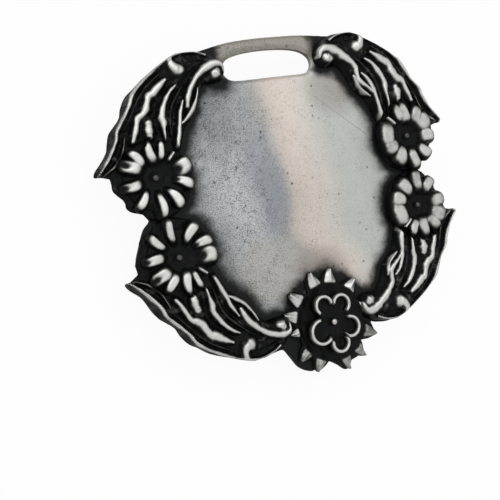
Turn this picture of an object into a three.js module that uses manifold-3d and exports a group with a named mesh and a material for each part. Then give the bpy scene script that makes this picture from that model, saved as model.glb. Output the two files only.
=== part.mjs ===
// Dress belt plate in oxidised silver, for a narrow strap. A cut and slotted plate carries four cast
// scroll-and-daisy sprays and a rosette, each pinned by a rivet whose head is the flower's eye, and
// a hinged hook on the back that catches the belt's free end. Millimetres, front face up (+Z),
// strap slot towards +Y, origin on the plate's back face.
import * as THREE from "three";
import { mergeVertices } from "three/addons/utils/BufferGeometryUtils.js";
import Module from "manifold-3d";

const wasm = await Module();
wasm.setup();

// Strap and slot
const strapWidth = 20;
const slotEndPlay = 1.2; // at each end of the strap
const slotHeight = 6.6; // at the middle
const slotArch = 1.3; // rise of the slot's upper edge
const barWidth = 2.5; // of the metal above the slot
const barArch = 0.9; // rise of the bar's outer edge over the slot's half length

// Plate
const plateThickness = 1.6;
const fieldRise = 0.6; // the blank middle is a low dome
const fieldMargin = 3.3; // flat ground between the dome and the ornament
const rim = 0.5; // plate showing outside the ornament
const seatGap = 0.3; // castings never lie quite flat on what they are riveted to
const solderFilm = 0.1;

// Sprays and daisies
const halfSpan = 31.7; // from the middle line to the upper daisies
const spanTaper = 1.2; // the lower pair sits this much closer in
const sprayReach = 28.9; // from a daisy's centre to the nose of its scroll
const groundThickness = 0.8; // flat back of a spray, which the daisy stands on
const ridgeHeight = 1.5; // of the scrollwork over that ground
const draft = 0.18; // how far a casting's walls lean in from foot to top
const scrollToSlot = 1.4; // from the upper noses to the slot's ends
const daisyRadius = 7.9;
const daisyHeight = 1.7;
const daisyFloor = 0.5; // thickness at the daisy's eye
const daisyGap = 0.8; // between the upper and the lower daisy of one side
const waistHeight = 2.7; // middle between the daisies, over the origin
const seatClearance = 0.25; // round a daisy, in the scrollwork
const pegRadius = 0.7; // cast peg that stops a spray from turning on its rivet
const pegProud = 0.3; // how far the peg stands out behind the plate

// Rosette
const rosetteOffset = 0.9; // to the right of the middle line
const calyxCore = 7.5;
const leafReach = 11.6;
const calyxThickness = 0.8;
const leafRise = 0.6; // of the leaf tips over the calyx
const scrollToCalyx = 2.6; // from the lower noses to the calyx's core
const cinquefoilRadius = 6.4;
const cinquefoilFloor = 0.6;
const cinquefoilHeight = 1.9;

// Rivets
const rivetRadius = 0.8;
const rivetPlay = 0.1;
const beadRadius = 1.1;
const beadHeight = 0.9;
const tailRadius = 1.5;
const tailHeight = 0.6;
const burrRadius = 2;
const burrThickness = 0.5;

// Hinge and hook
const pinRadius = 0.8;
const pinPlay = 0.08;
const knuckleWall = 0.75;
const leafWidth = 14;
const leafLength = 9;
const leafThickness = 1;
const hookWidth = 6;
const hookThickness = 1.1;
const hookReach = 11.5; // from the hinge pin to the outside of the hook's bend
const hookMouth = 3.2; // room for the strap
const tongueWidth = 4; // of the turned-up end, which goes through the belt's hole
const tongueLength = 8;
const sideGap = 0.2; // beside the hook's knuckle
const backGap = 0.3; // between the closed hook and the plate

const sides = 16; // of a small round
const degree = Math.PI / 180;

// The spray is drawn in hundredths of its reach, from the daisy's centre. +X runs to the scroll,
// +Y to the outside of the plate.
const unit = sprayReach / 100;
const nose = [100, -8];
const peg = [80, 8];
const sprayOuterEdge = [
  [-16, 37], [-12, 38], [-3, 36], [4, 36], [10, 39.5], [17, 40.5], [28, 40], [35, 41.5], [43, 43],
  [52, 41.5], [62, 38.5], [76, 33], [86, 27], [93, 21], [98, 12], [101, 4],
];
const sprayInnerEdge = [
  [103, -2], [103, -10], [99, -15], [93, -16], [88, -14], [84, -7], [76, -4.5], [69, -6.5],
  [59, -7.5], [45, -4.5], [34, -8],
];
const sprayTip = [-17, 30]; // back of the leaf tip, beside the daisy
// Each ridge is its middle line and its half width in millimetres.
const ridges = [
  { line: [[-12, 35], [0, 33.5], [9, 35.5], [17, 38], [30, 37.5], [45, 40], [60, 36.5], [78, 30],
    [89, 22.5], [95, 13], [97, 4]], half: 0.42, steps: 16 },
  { line: [[16, 25.5], [25, 27.5], [33, 29.5], [36, 27], [45, 28.5], [53, 28.5], [58, 26.5], [67, 24.5]],
    half: 0.5, steps: 9 },
  { line: [[30, 7], [38, 12], [43, 16.5], [52, 18], [60, 17.5], [67, 15.5]], half: 0.48, steps: 7 },
  { line: [[25, 15], [28, 18.5], [32, 20.5]], half: 0.62, steps: 3 },
  { line: [[88, 24], [82, 26], [78, 22], [80, 16]], half: 0.6, steps: 6 },
  { line: [[28, -4.5], [36, -2], [45, 2], [52, 4.5], [60, 6]], half: 0.42, steps: 6 },
  { line: [[59, 1.5], [66, 4], [76, 4.5], [86, 2], [94, -2.5], [99, -8], [98.5, -12]], half: 0.5, steps: 9 },
  { line: [[45, 0], [52, -2.7], [60, -3.8], [68, -2.8], [74, 0]], half: 0.35, steps: 6 },
  { line: [[91, -11], [92, -9.5], [92, -7.5]], half: 0.85, steps: 2 },
];

// Petals of a daisy, in degrees round it, with half width in millimetres. The gap is the stem's.
const petals = [
  [103, 1.1], [80, 0.95], [46, 1.2], [22, 0.9], [-35, 1.5], [-62, 1.2], [-108, 1.35], [-154, 1.15],
  [173, 1.1], [140, 1.2],
];
const stemAngle = -9;
const stemHalfWidth = 0.45;

// Leaves of the calyx, in degrees round it. The two wide gaps hold the lower scrolls.
const leaves = [40, 83, 108, 138, 199, 218, 239, 280, 303, 335];
const leafHalfAngle = 13;
const cinquefoilLobes = 5;
const cinquefoilTurn = 115;

// Heights
const sprayBase = plateThickness + seatGap;
const daisyBase = sprayBase + groundThickness + seatGap;
const cinquefoilBase = sprayBase + calyxThickness + seatGap;

// Plan: the noses of the scrolls stand off the slot and the calyx, which turns each spray, and the
// slot and the rosette then stand level with the noses.
const slotHalf = strapWidth / 2 + slotEndPlay;
const daisyPitch = 2 * daisyRadius + daisyGap;
const noseReach = Math.hypot(...nose) * unit;
const noseAngle = Math.atan2(nose[1], nose[0]);

function sprayPlace(daisyX, daisyY, noseX, upDown) {
  const turn = Math.acos((daisyX - noseX) / noseReach) - noseAngle;
  const noseY = daisyY + upDown * noseReach * Math.sin(turn + noseAngle);
  return { x: -daisyX, y: daisyY, turn, upDown, noseY };
}
const upper = sprayPlace(halfSpan, waistHeight + daisyPitch / 2, slotHalf + scrollToSlot, 1);
const lower = sprayPlace(halfSpan - spanTaper, waistHeight - daisyPitch / 2, calyxCore + scrollToCalyx, -1);
const slotMiddle = upper.noseY - 0.5;
const slotBottom = slotMiddle - slotHeight / 2;
const slotTop = slotMiddle + slotHeight / 2;
const rosetteY = lower.noseY - 0.5;
const plateTop = slotTop + barWidth;

// A point of a left-hand spray, given in the spray's own millimetres, on the plate.
function onPlate(place, x, y) {
  const c = Math.cos(place.turn);
  const s = Math.sin(place.turn);
  return new THREE.Vector2(place.x + c * x - s * y, place.y + place.upDown * (s * x + c * y));
}

function solid(geometry) {
  const bare = new THREE.BufferGeometry().setAttribute("position", geometry.getAttribute("position"));
  if (geometry.index) bare.setIndex(geometry.index);
  const merged = mergeVertices(bare, 1e-4);
  return new wasm.Manifold(
    new wasm.Mesh({
      numProp: 3,
      vertProperties: merged.attributes.position.array,
      triVerts: new Uint32Array(merged.index.array),
    }),
  );
}

function geometryOf(shape) {
  const mesh = shape.getMesh();
  return new THREE.BufferGeometry()
    .setAttribute("position", new THREE.BufferAttribute(new Float32Array(mesh.vertProperties), 3))
    .setIndex(new THREE.BufferAttribute(new Uint32Array(mesh.triVerts), 1));
}

const joined = (shapes) => shapes.reduce((sum, next) => sum.add(next));

// A closed prism between two outlines of equally many points, which run anticlockwise.
function loft(lowOutline, highOutline, low, high) {
  const count = lowOutline.length;
  const points = [...lowOutline.map((p) => [p.x, p.y, low]), ...highOutline.map((p) => [p.x, p.y, high])];
  const index = [];
  for (const [a, b, c] of THREE.ShapeUtils.triangulateShape(lowOutline, [])) {
    index.push(a, c, b, count + a, count + b, count + c);
  }
  for (let i = 0; i < count; i++) {
    const next = (i + 1) % count;
    index.push(i, next, count + next, i, count + next, count + i);
  }
  return new THREE.BufferGeometry()
    .setAttribute("position", new THREE.Float32BufferAttribute(points.flat(), 3))
    .setIndex(index);
}

const raised = (outline, low, high) => loft(outline, outline, low, high);

// An outline drawn in by a distance, square to itself at each point.
function drawnIn(outline, distance) {
  return outline.map((p, i) => {
    const before = outline.at(i - 1);
    const after = outline[(i + 1) % outline.length];
    const along = new THREE.Vector2().subVectors(after, before).normalize();
    return new THREE.Vector2(p.x - along.y * distance, p.y + along.x * distance);
  });
}

function drum(radius, low, high, x = 0, y = 0, count = sides) {
  return new THREE.CylinderGeometry(radius, radius, high - low, count)
    .rotateX(Math.PI / 2)
    .translate(x, y, (low + high) / 2);
}

function closedSpline(points, perSpan) {
  const curve = new THREE.CatmullRomCurve3(
    points.map((p) => new THREE.Vector3(p.x, p.y, 0)),
    true,
    "centripetal",
  );
  return curve.getPoints(points.length * perSpan).slice(0, -1).map((p) => new THREE.Vector2(p.x, p.y));
}

// The outline of a strip with pointed ends, along a spline of [x, y] points in millimetres.
function ribbon(line, half, steps) {
  const curve = new THREE.SplineCurve(line.map(([x, y]) => new THREE.Vector2(x, y)));
  const right = [];
  const left = [];
  for (let i = 0; i <= steps; i++) {
    const p = curve.getPointAt(i / steps);
    const along = curve.getTangentAt(i / steps);
    const w = half * (i === 0 || i === steps ? 0.45 : 1);
    right.push(new THREE.Vector2(p.x + along.y * w, p.y - along.x * w));
    left.unshift(new THREE.Vector2(p.x - along.y * w, p.y + along.x * w));
  }
  return [...right, ...left];
}

// Plate ------------------------------------------------------------------------------------------

// Left half of the plate's edge, from the top down: the bar, the upper spray, round both daisies
// and the lower spray.
function leftEdge() {
  const alongSpray = (place, points) => points.map(([x, y]) => onPlate(place, x * unit, y * unit + rim));
  const roundDaisy = (place, angles) =>
    angles.map((a) => {
      const radius = daisyRadius + rim;
      return new THREE.Vector2(place.x + radius * Math.cos(a * degree), place.y + radius * Math.sin(a * degree));
    });
  const bar = [0, 0.5, 1, 1.45].map(
    (share) => new THREE.Vector2(-share * slotHalf, plateTop - barArch * share * share),
  );
  const outer = [[-17, 33], [-17.5, 37.5], ...sprayOuterEdge.slice(1, -2)];
  const waist = new THREE.Vector2(-halfSpan - 0.35 * daisyRadius, waistHeight + 0.6);
  return [
    ...bar,
    ...alongSpray(upper, outer).reverse(),
    ...roundDaisy(upper, [172, 190, 204, 216, 228]),
    waist,
    ...roundDaisy(lower, [134, 152, 168, 182, 196]),
    ...alongSpray(lower, outer),
  ];
}

// The plate's edge follows the leaves of the calyx and is nicked between them.
function rosetteEdge() {
  const below = leaves.filter((angle) => angle > 180);
  return below
    .flatMap((angle, i) => [
      [angle, leafReach + rim],
      [(angle + below[i + 1]) / 2, leafReach * 0.92],
    ])
    .slice(0, -1)
    .map(([angle, radius]) => {
      const turned = angle * degree;
      return new THREE.Vector2(rosetteOffset + radius * Math.cos(turned), rosetteY + radius * Math.sin(turned));
    });
}

function slotOutline() {
  const corner = slotHeight * 0.4;
  const endTop = slotTop - slotArch;
  const middle = (slotBottom + endTop) / 2;
  const shape = new THREE.Shape();
  shape.moveTo(-slotHalf + corner, slotBottom);
  shape.lineTo(slotHalf - corner, slotBottom);
  shape.quadraticCurveTo(slotHalf, slotBottom, slotHalf, middle);
  shape.quadraticCurveTo(slotHalf, endTop, slotHalf - corner, endTop + slotArch * 0.35);
  shape.quadraticCurveTo(0, slotTop + slotArch * 0.65, -slotHalf + corner, endTop + slotArch * 0.35);
  shape.quadraticCurveTo(-slotHalf, endTop, -slotHalf, middle);
  shape.quadraticCurveTo(-slotHalf, slotBottom, -slotHalf + corner, slotBottom);
  return shape.getPoints(5).slice(0, -1);
}

// The low dome of the blank field: a lens, round in plan before it is stretched to the field.
function fieldDome() {
  const buried = 0.4;
  const low = rosetteY + leafReach + fieldMargin - 1.5;
  const high = slotBottom - 0.8;
  const halfWidth = halfSpan - daisyRadius - fieldMargin;
  const profile = [new THREE.Vector2(0, -buried), new THREE.Vector2(1, -buried)];
  const rings = 4;
  for (let i = 0; i <= rings; i++) {
    const r = Math.cos((i / rings) * (Math.PI / 2));
    profile.push(new THREE.Vector2(r, fieldRise * (1 - r * r) ** 1.5));
  }
  profile[profile.length - 1].x = 0;
  return new THREE.LatheGeometry(profile, 28)
    .rotateX(Math.PI / 2)
    .scale(halfWidth, (high - low) / 2, 1)
    .translate(0, (high + low) / 2, plateThickness);
}

function plate() {
  const left = leftEdge();
  const right = left.slice(1).map((p) => new THREE.Vector2(-p.x, p.y)).reverse();
  const edge = closedSpline([...left, ...rosetteEdge(), ...right], 2);
  const through = plateThickness + 2;
  let body = solid(raised(edge, 0, plateThickness))
    .add(solid(fieldDome()))
    .subtract(solid(raised(slotOutline(), -1, through)));
  for (const place of [upper, lower]) {
    const pegSpot = onPlate(place, peg[0] * unit, peg[1] * unit);
    for (const side of [-1, 1]) {
      body = body
        .subtract(solid(drum(rivetRadius + rivetPlay, -1, through, side * place.x, place.y)))
        .subtract(solid(drum(pegRadius + rivetPlay, -1, through, side * pegSpot.x, pegSpot.y, 12)));
    }
  }
  return body.subtract(solid(drum(rivetRadius + rivetPlay, -1, through, rosetteOffset, rosetteY)));
}

// Sprays -----------------------------------------------------------------------------------------

function sprayGround() {
  const padRadius = daisyRadius - 0.5;
  const pad = [-25, -60, -95, -130, -165, -200, -225].map(
    (a) => new THREE.Vector2(padRadius * Math.cos(a * degree), padRadius * Math.sin(a * degree)),
  );
  const drawn = (points) => points.map(([x, y]) => new THREE.Vector2(x * unit, y * unit));
  const outline = [...drawn(sprayOuterEdge), ...drawn(sprayInnerEdge), ...pad, ...drawn([sprayTip])].reverse();
  return loft(outline, drawnIn(outline, draft), 0, groundThickness);
}

function spray() {
  const buried = 0.4;
  const ridgeTop = groundThickness + ridgeHeight;
  const scrollwork = joined(
    ridges.map(({ line, half, steps }) => {
      const foot = ribbon(line.map(([x, y]) => [x * unit, y * unit]), half, steps);
      return solid(loft(foot, drawnIn(foot, draft), groundThickness - buried, ridgeTop));
    }),
  ).subtract(solid(drum(daisyRadius + seatClearance, -1, ridgeTop + 1, 0, 0, 30)));
  return solid(sprayGround())
    .add(scrollwork)
    .add(solid(drum(pegRadius, -sprayBase - pegProud, buried, peg[0] * unit, peg[1] * unit, 8)))
    .subtract(solid(drum(rivetRadius + rivetPlay, -1, groundThickness + 1)));
}

// Daisy: a shallow dish with petals standing round it and the end of the spray's stem in the gap.
function petalOutline(angle, half) {
  const across = [[0.42, -0.45], [0.68, -1], [0.9, -0.85], [1, 0], [0.9, 0.85], [0.68, 1], [0.42, 0.45]];
  const c = Math.cos(angle * degree);
  const s = Math.sin(angle * degree);
  return across.map(([share, side]) => {
    const x = share * daisyRadius;
    const y = side * half;
    return new THREE.Vector2(c * x - s * y, s * x + c * y);
  });
}

function daisy() {
  const buried = 0.25;
  const dish = solid(drum(daisyRadius * 0.86, 0, daisyFloor));
  const standing = petals.map(([angle, half]) => {
    const foot = petalOutline(angle, half);
    return solid(loft(foot, drawnIn(foot, draft), daisyFloor - buried, daisyHeight));
  });
  const stemEnd = ribbon(
    [0.45, 0.7, 0.98].map((share) => [
      share * daisyRadius * Math.cos(stemAngle * degree),
      share * daisyRadius * Math.sin(stemAngle * degree),
    ]),
    stemHalfWidth,
    2,
  );
  return joined([dish, ...standing, solid(raised(stemEnd, daisyFloor - buried, daisyHeight - 0.4))]).subtract(
    solid(drum(rivetRadius + rivetPlay, -1, daisyHeight + 1)),
  );
}

// Rosette ----------------------------------------------------------------------------------------

function calyx() {
  const leafOutline = (angle) =>
    [[0.55, -0.7], [0.8, -0.65], [0.94, -0.3], [1, 0], [0.94, 0.3], [0.8, 0.65], [0.55, 0.7]].map(([share, side]) => {
      const turned = (angle + side * leafHalfAngle) * degree;
      return new THREE.Vector2(share * leafReach * Math.cos(turned), share * leafReach * Math.sin(turned));
    });
  const seatRadius = cinquefoilRadius + seatClearance;
  const top = calyxThickness + leafRise;
  const core = solid(drum(calyxCore, 0, calyxThickness, 0, 0, 24));
  const turned = leaves.map((angle) => {
    const foot = leafOutline(angle);
    return solid(loft(foot, drawnIn(foot, draft), 0, top));
  });
  return joined([core, ...turned])
    .subtract(solid(drum(seatRadius, calyxThickness, top + 1, 0, 0, 24)))
    .subtract(solid(drum(rivetRadius + rivetPlay, -1, top + 1)));
}

// The cinquefoil's lobes are round dishes with standing rims that meet at its eye.
function cinquefoil() {
  const lobeRadius = cinquefoilRadius * 0.42;
  const lobeCentre = cinquefoilRadius - lobeRadius;
  const wall = 0.75;
  const spots = Array.from({ length: cinquefoilLobes }, (_, i) => {
    const angle = (cinquefoilTurn + (i * 360) / cinquefoilLobes) * degree;
    return [lobeCentre * Math.cos(angle), lobeCentre * Math.sin(angle)];
  });
  const lobes = joined(spots.map(([x, y]) => solid(drum(lobeRadius, 0, cinquefoilHeight, x, y))));
  const hollows = joined([
    ...spots.map(([x, y]) => solid(drum(lobeRadius - wall, cinquefoilFloor, cinquefoilHeight + 1, x, y))),
    solid(drum(lobeCentre * 0.75, cinquefoilFloor, cinquefoilHeight + 1)),
  ]);
  return lobes
    .add(solid(drum(lobeCentre, 0, cinquefoilFloor)))
    .subtract(hollows)
    .subtract(solid(drum(rivetRadius + rivetPlay, -1, cinquefoilHeight + 1)));
}

// Rivets: the domed head is the flower's eye, and the tail is peened over a burr on the back.
function rivet(headSeat) {
  const tailSeat = -2 * solderFilm - burrThickness;
  const profile = [
    [0, tailSeat - tailHeight], [tailRadius * 0.65, tailSeat - tailHeight], [tailRadius, tailSeat],
    [rivetRadius, tailSeat], [rivetRadius, headSeat], [beadRadius, headSeat],
  ].map(([r, z]) => new THREE.Vector2(r, z));
  for (const share of [0.5, 1]) {
    const angle = (share * Math.PI) / 2;
    profile.push(new THREE.Vector2(beadRadius * Math.cos(angle), headSeat + beadHeight * Math.sin(angle)));
  }
  profile[profile.length - 1].x = 0;
  return new THREE.LatheGeometry(profile, 12).rotateX(Math.PI / 2);
}

function burr() {
  return solid(drum(burrRadius, -solderFilm - burrThickness, -solderFilm)).subtract(
    solid(drum(rivetRadius + rivetPlay, -2, 1, 0, 0, 12)),
  );
}

// Hinge and hook ---------------------------------------------------------------------------------

const knuckleRadius = pinRadius + pinPlay + knuckleWall;
const pinDepth = -solderFilm - knuckleRadius;
const hookEnd = rosetteY + burrRadius + 0.4;
const pinY = hookEnd + hookReach;
const knuckleHalf = hookWidth / 2 + sideGap;

// A round bar along X, at the pin's place.
function pinwise(radius, fromX, toX, count = sides) {
  return new THREE.CylinderGeometry(radius, radius, toX - fromX, count)
    .rotateZ(Math.PI / 2)
    .translate((fromX + toX) / 2, pinY, pinDepth);
}

function hingeLeaf() {
  const leaf = new THREE.BoxGeometry(leafWidth, leafLength, leafThickness).translate(
    0,
    pinY + leafLength / 2,
    -solderFilm - leafThickness / 2,
  );
  const cleared = new THREE.BoxGeometry(2 * knuckleHalf, 2 * (knuckleRadius + sideGap), 8).translate(0, pinY, 0);
  const ear = (from, to) => solid(pinwise(knuckleRadius, from, to));
  return solid(leaf)
    .add(ear(-leafWidth / 2, -knuckleHalf))
    .add(ear(knuckleHalf, leafWidth / 2))
    .subtract(solid(cleared))
    .subtract(solid(pinwise(pinRadius + pinPlay, -leafWidth, leafWidth)));
}

function hingePin() {
  const length = leafWidth + 0.8;
  return new THREE.CapsuleGeometry(pinRadius, length - 2 * pinRadius, 3, sides)
    .rotateZ(Math.PI / 2)
    .translate(0, pinY, pinDepth);
}

// The hook is one strip: knuckle, shank along the plate's back, round bend, tongue towards the slot.
function beltHook() {
  const shankTop = -backGap - solderFilm;
  const shankBottom = shankTop - hookThickness;
  const bendOuter = hookMouth / 2 + hookThickness;
  const bendY = hookEnd + bendOuter;
  const bendZ = shankBottom - hookMouth / 2;
  const profile = new THREE.Shape();
  profile.moveTo(pinY, shankTop);
  profile.lineTo(bendY, shankTop);
  profile.absarc(bendY, bendZ, bendOuter, Math.PI / 2, (3 * Math.PI) / 2, false);
  profile.lineTo(bendY + tongueLength - 0.5, bendZ - bendOuter);
  profile.lineTo(bendY + tongueLength, bendZ - bendOuter + 0.5);
  profile.lineTo(bendY + tongueLength, bendZ - bendOuter + hookThickness);
  profile.lineTo(bendY, bendZ - hookMouth / 2);
  profile.absarc(bendY, bendZ, hookMouth / 2, (3 * Math.PI) / 2, Math.PI / 2, true);
  profile.lineTo(pinY, shankBottom);
  // Drawn in Y and Z, so it is extruded and then stood up across the plate.
  const strip = (width) =>
    new THREE.ExtrudeGeometry(profile, { depth: width, bevelEnabled: false, steps: 1, curveSegments: 8 })
      .translate(0, 0, -width / 2)
      .applyMatrix4(new THREE.Matrix4().set(0, 0, 1, 0, 1, 0, 0, 0, 0, 1, 0, 0, 0, 0, 0, 1));
  const shankOnly = new THREE.BoxGeometry(hookWidth * 2, 40, 40).translate(0, bendY + 20, shankBottom + 20 - 0.4);
  const narrow = solid(strip(tongueWidth));
  const wide = solid(strip(hookWidth)).intersect(solid(shankOnly));
  return wide
    .add(narrow)
    .add(solid(pinwise(knuckleRadius, -hookWidth / 2, hookWidth / 2)))
    .subtract(solid(pinwise(pinRadius + pinPlay, -leafWidth, leafWidth)));
}

// Assembly ---------------------------------------------------------------------------------------

const silver = new THREE.MeshStandardMaterial({ color: 0xb9b8b3, metalness: 1, roughness: 0.38 });
const oxidised = new THREE.MeshStandardMaterial({ color: 0x4a4b4c, metalness: 0.9, roughness: 0.42 });
const findings = new THREE.MeshStandardMaterial({ color: 0xa7a39a, metalness: 1, roughness: 0.33 });

function named(name, geometry, material, parent) {
  const mesh = new THREE.Mesh(geometry, material);
  mesh.name = name;
  parent.add(mesh);
  return mesh;
}

const beltPlate = new THREE.Group();
named("plate", geometryOf(plate()), silver, beltPlate);

const sprayGeometry = geometryOf(spray());
const daisyGeometry = geometryOf(daisy());
const daisyRivetGeometry = rivet(daisyBase + daisyFloor + solderFilm);
const burrGeometry = geometryOf(burr());
for (const [level, place] of Object.entries({ upper, lower })) {
  for (const [hand, side] of Object.entries({ left: 1, right: -1 })) {
    const spot = `${level}_${hand}`;
    // The right-hand pieces are mirror castings of the left, and the lower ones of the upper.
    const halfPlate = new THREE.Group();
    halfPlate.scale.x = side;
    const turned = new THREE.Group();
    turned.position.set(place.x, place.y, 0);
    turned.scale.y = place.upDown;
    turned.rotation.z = place.upDown * place.turn;
    halfPlate.add(turned);
    beltPlate.add(halfPlate);
    named(`spray_${spot}`, sprayGeometry, oxidised, turned).position.z = sprayBase;
    named(`daisy_${spot}`, daisyGeometry, oxidised, turned).position.z = daisyBase;
    named(`daisy_rivet_${spot}`, daisyRivetGeometry, findings, turned);
    named(`rivet_burr_${spot}`, burrGeometry, findings, turned);
  }
}

const rosette = new THREE.Group();
rosette.position.set(rosetteOffset, rosetteY, 0);
beltPlate.add(rosette);
named("rosette_calyx", geometryOf(calyx()), oxidised, rosette).position.z = sprayBase;
named("rosette_cinquefoil", geometryOf(cinquefoil()), oxidised, rosette).position.z = cinquefoilBase;
named("rosette_rivet", rivet(cinquefoilBase + cinquefoilFloor + solderFilm), findings, rosette);
named("rivet_burr_rosette", burrGeometry, findings, rosette);

named("hinge_leaf", geometryOf(hingeLeaf()), findings, beltPlate);
named("hinge_pin", hingePin(), findings, beltPlate);
named("belt_hook", geometryOf(beltHook()), findings, beltPlate);

export default beltPlate;
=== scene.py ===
"""Dress belt plate: a slotted plate of oxidised silver with four scroll-and-daisy sprays, a rosette,
and a hinged hook on its back. Millimetres are used throughout and turned to metres in the meshes."""

import bmesh
import bpy
import numpy as np
from mathutils import Matrix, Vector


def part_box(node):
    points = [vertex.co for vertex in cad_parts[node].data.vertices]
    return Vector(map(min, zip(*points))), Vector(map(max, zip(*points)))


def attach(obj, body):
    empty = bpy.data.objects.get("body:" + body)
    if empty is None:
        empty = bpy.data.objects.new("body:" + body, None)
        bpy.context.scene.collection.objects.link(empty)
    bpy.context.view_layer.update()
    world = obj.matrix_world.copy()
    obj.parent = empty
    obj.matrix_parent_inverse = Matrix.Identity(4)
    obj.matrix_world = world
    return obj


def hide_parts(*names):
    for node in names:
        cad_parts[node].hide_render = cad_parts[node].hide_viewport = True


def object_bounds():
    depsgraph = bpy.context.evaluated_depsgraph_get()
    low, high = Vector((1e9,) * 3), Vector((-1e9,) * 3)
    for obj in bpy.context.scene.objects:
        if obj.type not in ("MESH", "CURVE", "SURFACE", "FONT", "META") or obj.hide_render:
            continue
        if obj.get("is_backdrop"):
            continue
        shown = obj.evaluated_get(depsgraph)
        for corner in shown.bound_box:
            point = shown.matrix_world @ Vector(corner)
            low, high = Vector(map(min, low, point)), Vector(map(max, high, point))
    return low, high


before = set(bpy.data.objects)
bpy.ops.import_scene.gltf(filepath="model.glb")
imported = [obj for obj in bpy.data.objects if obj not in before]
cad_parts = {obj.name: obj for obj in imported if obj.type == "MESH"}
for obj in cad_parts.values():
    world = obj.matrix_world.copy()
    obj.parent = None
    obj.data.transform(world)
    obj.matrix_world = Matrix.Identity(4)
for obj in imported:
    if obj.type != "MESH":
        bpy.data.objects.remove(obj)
cad_low, cad_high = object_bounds()

# ---------------------------------------------------------------------------------------------
# The table and the studio. The buckle lies face up on its hook over pale card, under a large
# soft light, with a darker side of the room that the polished metal picks up.

table_height = cad_low.z - 0.0002


class Wire:
    """One value in a material's nodes. Sums, products and so on add the Math nodes."""

    def __init__(self, bench, socket):
        self.bench = bench
        self.socket = socket

    def _sum(self, operation, *values):
        return self.bench.add("ShaderNodeMath", {"operation": operation}, *values)

    def __add__(self, other):
        return self._sum("ADD", self, other)

    __radd__ = __add__

    def __mul__(self, other):
        return self._sum("MULTIPLY", self, other)

    __rmul__ = __mul__

    def __sub__(self, other):
        return self._sum("SUBTRACT", self, other)

    def __rsub__(self, other):
        return self._sum("SUBTRACT", other, self)

    def __pow__(self, other):
        return self._sum("POWER", self, other)

    def at_most(self, other):
        return self._sum("MINIMUM", self, other)

    def at_least(self, other):
        return self._sum("MAXIMUM", self, other)

    def ramp(self, low, high):
        """0 below low, 1 above high, smooth between."""
        return self.bench.add(
            "ShaderNodeMapRange", {"interpolation_type": "SMOOTHSTEP"}, self, low, high, 0.0, 1.0
        )


class Bench:
    """The nodes of one material or of the room."""

    def __init__(self, owner):
        owner.use_nodes = True
        self.tree = owner.node_tree
        self.tree.nodes.clear()

    def add(self, kind, settings, *values, out=0, **named):
        """A node of this kind. Its settings come first, then its sockets' values or links, in order
        or by name."""
        node = self.tree.nodes.new(kind)
        for key, value in settings.items():
            if key == "stops":
                ramp = node.color_ramp
                while len(ramp.elements) < len(value):
                    ramp.elements.new(0.5)
                for element, (place, colour) in zip(ramp.elements, value):
                    element.position = place
                    element.color = (*colour, 1)
            else:
                setattr(node, key, value)
        pairs = list(zip(node.inputs, values))
        pairs += [(node.inputs[key.replace("_", " ")], value) for key, value in named.items()]
        for socket, value in pairs:
            if isinstance(value, Wire):
                self.tree.links.new(value.socket, socket)
            elif value is not None:
                socket.default_value = value
        return Wire(self, node.outputs[out]) if len(node.outputs) else node


def linear(red, green, blue):
    """A screen colour of 0 to 255 as the linear light that a material takes."""
    part = np.array([red, green, blue]) / 255
    return tuple(np.where(part <= 0.04045, part / 12.92, ((part + 0.055) / 1.055) ** 2.4))


def build(name, points, faces, body="buckle", stands_for=(), finish=None, marks=None):
    """Puts points in millimetres and four-cornered faces into a closed mesh that faces outwards.
    marks are named numbers, one for each point."""
    points = points.reshape(-1, 3) * 0.001
    a, b, c, d = (points[faces[:, i]] for i in range(4))
    volume = np.einsum("ij,ij->", a, np.cross(b, c)) + np.einsum("ij,ij->", a, np.cross(c, d))
    if volume < 0:
        faces = faces[:, ::-1]
    mesh = bpy.data.meshes.new(name)
    mesh.vertices.add(len(points))
    mesh.vertices.foreach_set("co", points.astype(np.float32).ravel())
    mesh.loops.add(faces.size)
    mesh.loops.foreach_set("vertex_index", faces.astype(np.int32).ravel())
    mesh.polygons.add(len(faces))
    mesh.polygons.foreach_set("loop_start", np.arange(0, faces.size, 4, dtype=np.int32))
    mesh.update(calc_edges=True)
    for key, values in (marks or {}).items():
        mesh.attributes.new(key, "FLOAT", "POINT").data.foreach_set(
            "value", np.asarray(values, np.float32).ravel()
        )
    welded = bmesh.new()
    welded.from_mesh(mesh)
    bmesh.ops.remove_doubles(welded, verts=welded.verts, dist=2e-7)
    welded.to_mesh(mesh)
    welded.free()
    mesh.shade_smooth()
    piece = bpy.data.objects.new(name, mesh)
    bpy.context.scene.collection.objects.link(piece)
    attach(piece, body)
    if stands_for:
        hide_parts(*stands_for)
    if finish:
        mesh.materials.append(finish[0])
    return piece


def quads(rows, columns, round_rows=False, round_columns=False):
    """The faces of a grid of points, joined end to end where it goes round."""
    i = np.arange(rows if round_rows else rows - 1)[:, None]
    j = np.arange(columns if round_columns else columns - 1)[None, :]
    near, far = i * columns, ((i + 1) % rows) * columns
    left, right = j, (j + 1) % columns
    return np.stack([near + left, near + right, far + right, far + left], -1).reshape(-1, 4)


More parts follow.
